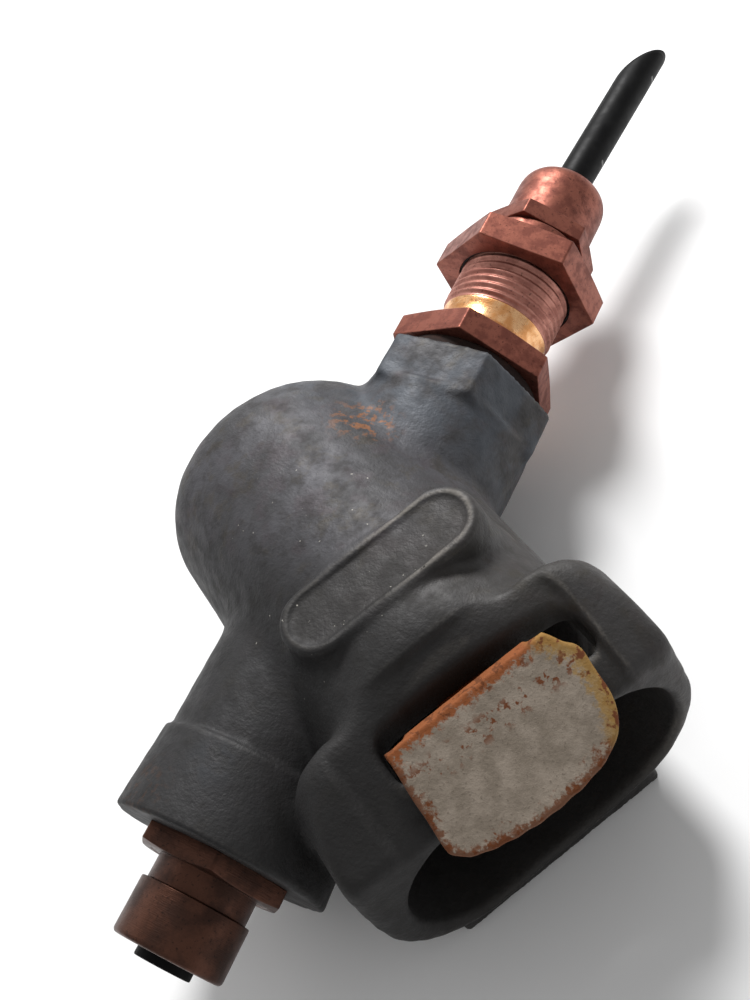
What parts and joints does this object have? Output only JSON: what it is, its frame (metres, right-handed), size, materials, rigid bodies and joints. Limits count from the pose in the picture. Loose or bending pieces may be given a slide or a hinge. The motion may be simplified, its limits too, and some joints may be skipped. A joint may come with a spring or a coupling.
{
  "type": "pressure relief valve",
  "caption": "Cast angle-body relief valve with a round chamber, an open discharge hood, a steel easing tongue, a threaded gland with lock nut and a black tube stub.",
  "frame": {"origin": "centre of the inlet tail's round end face, on the pipe axis", "axes": "+Y runs up the pipe axis from the inlet tail to the gland and tube, +Z is the side with the raised plaque, away from the foot pad, and +X completes the frame, towards the discharge hood"},
  "size_m": [0.088, 0.1848, 0.0441],
  "materials": {
    "cast_metal": "as-cast, weathered dark grey with worn lighter edges",
    "copper_plate": "copper-plated brass, dulled pinkish",
    "dark_copper": "dark tarnished copper brown",
    "bare_brass": "machined brass",
    "rusty_zinc_steel": "dull zinc coating with orange rust along edges",
    "stainless": "plain machined",
    "spring_steel": "drawn wire",
    "fibre": "pressed fibre, oil-dark",
    "black_rubber": "matte",
    "black_plastic": "satin black tube"
  },
  "bodies": {
    "valve": {"valve_body": "cast_metal", "inlet_tail": "dark_copper", "inlet_adapter": "dark_copper", "inlet_washer": "fibre", "inlet_olive": "bare_brass", "inlet_tube": "black_plastic", "inlet_screen": "stainless", "screen_clip": "stainless", "seat_ring": "bare_brass", "relief_spring": "spring_steel", "upper_spring_plate": "stainless", "adjusting_plug": "bare_brass", "neck_washer": "fibre", "gland_body": "copper_plate", "spacer_washer": "copper_plate", "gland_collar": "copper_plate", "gland_seal": "black_rubber", "tube_stop": "bare_brass", "sensing_tube": "black_plastic", "pivot_pin": "stainless", "pivot_washer": "stainless", "pivot_plug": "stainless"},
    "valve_lift": {"valve_disc": "bare_brass", "disc_seal": "black_rubber", "spindle": "stainless", "lift_collar": "bare_brass", "collar_clip": "stainless", "lower_spring_plate": "stainless"},
    "easing_lever": {"easing_arm": "rusty_zinc_steel", "arm_bush": "bare_brass", "lift_peg": "stainless", "easing_tongue": "rusty_zinc_steel", "tongue_rivets": "rusty_zinc_steel"},
    "nut_ring": {"thread_ring": "black_rubber"},
    "lock_nut": {"lock_nut": "copper_plate"},
    "cap_washer": {"slip_washer": "bare_brass"},
    "gland_cap": {"gland_cap": "copper_plate"}
  },
  "joints": [
    {"name": "easing_lever_swing", "type": "hinge", "parent": "valve", "child": "easing_lever", "pos_m": [-0.01126, 0.0698, 0.009], "axis": [0, 0, 1], "range_deg": [0, 5]},
    {"name": "disc_lift", "type": "slide", "parent": "valve", "child": "valve_lift", "axis": [0, 1, 0], "range_m": [0, 0.00106], "stiffness_N_per_m": 200, "springref_m": -0.002, "deforming": ["relief_spring"]},
    {"name": "lock_nut_travel", "type": "slide", "parent": "valve", "child": "nut_ring", "axis": [0, 1, 0], "range_m": [-0.00905, 0]},
    {"name": "lock_nut_turn", "type": "hinge", "parent": "nut_ring", "child": "lock_nut", "pos_m": [0, 0.1236, 0], "axis": [0, 1, 0], "range_deg": [-2160, 0]},
    {"name": "gland_cap_travel", "type": "slide", "parent": "valve", "child": "cap_washer", "axis": [0, 1, 0], "range_m": [0, 0.00305]},
    {"name": "gland_cap_turn", "type": "hinge", "parent": "cap_washer", "child": "gland_cap", "pos_m": [0, 0.138, 0], "axis": [0, 1, 0], "range_deg": [0, 1080]}
  ],
  "couplings": [
    {"joint": "disc_lift", "follows": "easing_lever_swing", "m_per_rad": 0.012},
    {"joint": "lock_nut_travel", "follows": "lock_nut_turn", "m_per_rad": 0.00023873},
    {"joint": "gland_cap_travel", "follows": "gland_cap_turn", "m_per_rad": 0.00015915}
  ]
}
